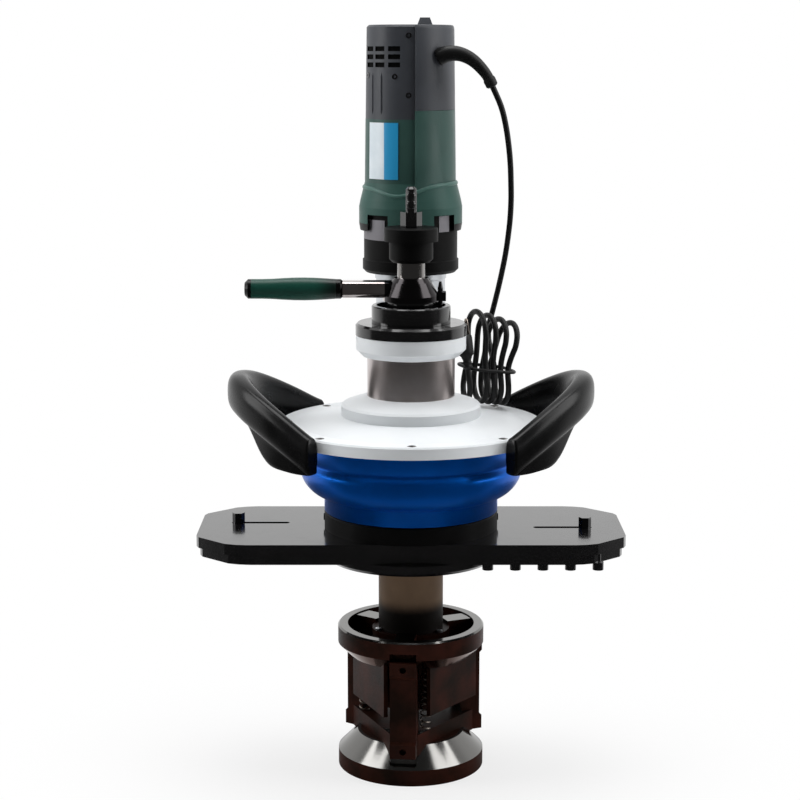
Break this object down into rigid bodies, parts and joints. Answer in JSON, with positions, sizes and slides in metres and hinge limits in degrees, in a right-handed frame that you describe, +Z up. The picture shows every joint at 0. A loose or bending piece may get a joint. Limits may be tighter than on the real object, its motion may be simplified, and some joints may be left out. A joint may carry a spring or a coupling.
{
  "type": "pipe beveling machine",
  "caption": "Upright pipe beveling machine with an expanding mandrel, a turning cutter bar, a blue gear housing with side handles, a ratchet feed lever and a green motor.",
  "frame": {"origin": "centre of the mandrel's base, on the mandrel axis", "axes": "+Z up along the mandrel axis, +X along the cutter bar at rest, +Y from the mandrel axis towards the motor"},
  "size_m": [0.39, 0.2588, 0.6927],
  "materials": {
    "oxide_steel": "oxidised, brown-black",
    "ground_steel": "turned and ground",
    "black_steel": "black oxide, satin",
    "blue_paint": "glossy blue",
    "white_paint": "satin white",
    "chrome": "polished",
    "handle_black": "glossy moulded",
    "motor_green": "satin moulded",
    "motor_grey": "satin moulded",
    "grip_green": "satin moulded",
    "aluminium": "turned",
    "bronze": "turned",
    "motor_core": "lacquered laminations",
    "cord_black": "satin sheath",
    "label_white": "plain film"
  },
  "bodies": {
    "mandrel": {"mandrel_shaft": "ground_steel", "upper_cone": "oxide_steel", "thrust_collar": "black_steel", "return_springs": "ground_steel"},
    "lower_cone_body": {"lower_cone": "oxide_steel"},
    "draw_rod_body": {"draw_rod": "black_steel"},
    "jaw_front_body": {"jaw_front": "oxide_steel"},
    "jaw_right_body": {"jaw_right": "oxide_steel"},
    "jaw_left_body": {"jaw_left": "oxide_steel"},
    "machine": {"gear_housing": "blue_paint", "top_cover": "white_paint", "cover_screws": "ground_steel", "guide_bush": "bronze", "feed_key": "ground_steel", "lower_bearing": "ground_steel", "upper_bearing": "ground_steel", "column": "chrome", "collar_ring": "white_paint", "feed_flange": "black_steel", "flange_screws": "black_steel", "pinion_bearing": "ground_steel", "motor_adapter": "aluminium", "gear_case": "black_steel", "motor_bell": "motor_green", "motor_barrel": "motor_green", "cap_left": "motor_grey", "cap_right": "motor_grey", "label_plate": "label_white", "stator": "motor_core", "bearing_plate": "motor_grey", "handle_left": "handle_black", "handle_right": "handle_black", "handle_bolts": "black_steel", "strain_relief": "cord_black", "cord": "cord_black", "cord_hank": "cord_black", "plug": "cord_black"},
    "cutter_head": {"spindle_sleeve": "ground_steel", "head_hub": "black_steel", "hub_screws": "black_steel", "cutter_bar": "black_steel", "slide_plate": "black_steel", "plate_screws": "black_steel", "lower_disc": "black_steel", "dust_seal": "cord_black", "head_bolts": "black_steel", "ring_gear": "ground_steel"},
    "tool_right": {"tool_slide_right": "black_steel", "clamp_bolt_right": "black_steel"},
    "tool_left": {"tool_slide_left": "black_steel", "clamp_bolt_left": "black_steel"},
    "feed_nut_body": {"feed_nut": "black_steel"},
    "lever": {"ratchet_lever": "chrome", "lever_grip": "grip_green", "grip_cap": "handle_black"},
    "pawl": {"pawl_pin": "black_steel"},
    "drive": {"pinion": "ground_steel", "planet_carrier": "ground_steel"},
    "armature_body": {"armature": "motor_core"},
    "switch": {"switch_slider": "motor_grey"}
  },
  "joints": [
    {"name": "cone_draw", "type": "slide", "parent": "mandrel", "child": "lower_cone_body", "axis": [0, 0, 1], "range_m": [0, 0.014], "deforming": ["return_springs"]},
    {"name": "rod_turn", "type": "hinge", "parent": "mandrel", "child": "draw_rod_body", "pos_m": [0, 0, 0.3], "axis": [0, 0, 1], "range_deg": [0, 2521]},
    {"name": "jaw_front_slide", "type": "slide", "parent": "mandrel", "child": "jaw_front_body", "axis": [-0.0387, -0.3398, 0.9397], "range_m": [0, 0.00746]},
    {"name": "jaw_right_slide", "type": "slide", "parent": "mandrel", "child": "jaw_right_body", "axis": [0.3137, 0.1364, 0.9397], "range_m": [0, 0.00746]},
    {"name": "jaw_left_slide", "type": "slide", "parent": "mandrel", "child": "jaw_left_body", "axis": [-0.2749, 0.2034, 0.9397], "range_m": [0, 0.00746]},
    {"name": "machine_feed", "type": "slide", "parent": "mandrel", "child": "machine", "axis": [0, 0, -1], "range_m": [0, 0.045]},
    {"name": "nut_turn", "type": "hinge", "parent": "machine", "child": "feed_nut_body", "pos_m": [0, 0, 0.41], "axis": [0, 0, 1], "range_deg": [0, 3241]},
    {"name": "lever_swing", "type": "hinge", "parent": "machine", "child": "lever", "pos_m": [0, 0, 0.45], "axis": [0, 0, 1], "range_deg": [-40, 90]},
    {"name": "pawl_lift", "type": "slide", "parent": "lever", "child": "pawl", "axis": [0, 0, 1], "range_m": [0, 0.004], "stiffness_N_per_m": 400, "springref_m": -0.001},
    {"name": "head_spin", "type": "hinge", "parent": "machine", "child": "cutter_head", "pos_m": [0, 0, 0.25], "axis": [0, 0, 1], "continuous": true},
    {"name": "pinion_spin", "type": "hinge", "parent": "machine", "child": "drive", "pos_m": [0, 0.088, 0.3], "axis": [0, 0, 1], "continuous": true},
    {"name": "armature_spin", "type": "hinge", "parent": "machine", "child": "armature_body", "pos_m": [0, 0.088, 0.57], "axis": [0, 0, 1], "continuous": true},
    {"name": "tool_right_slide", "type": "slide", "parent": "cutter_head", "child": "tool_right", "axis": [-1, 0, 0], "range_m": [0, 0.042]},
    {"name": "tool_left_slide", "type": "slide", "parent": "cutter_head", "child": "tool_left", "axis": [1, 0, 0], "range_m": [0, 0.042]},
    {"name": "switch_slide", "type": "slide", "parent": "machine", "child": "switch", "axis": [0, -1, 0], "range_m": [0, 0.006]}
  ],
  "couplings": [
    {"joint": "rod_turn", "follows": "cone_draw", "rad_per_m": 3141.6},
    {"joint": "jaw_front_slide", "follows": "cone_draw", "ratio": 0.53209},
    {"joint": "jaw_right_slide", "follows": "cone_draw", "ratio": 0.53209},
    {"joint": "jaw_left_slide", "follows": "cone_draw", "ratio": 0.53209},
    {"joint": "nut_turn", "follows": "machine_feed", "rad_per_m": 1256.6},
    {"joint": "pinion_spin", "follows": "head_spin", "ratio": -3},
    {"joint": "armature_spin", "follows": "head_spin", "ratio": -36}
  ]
}
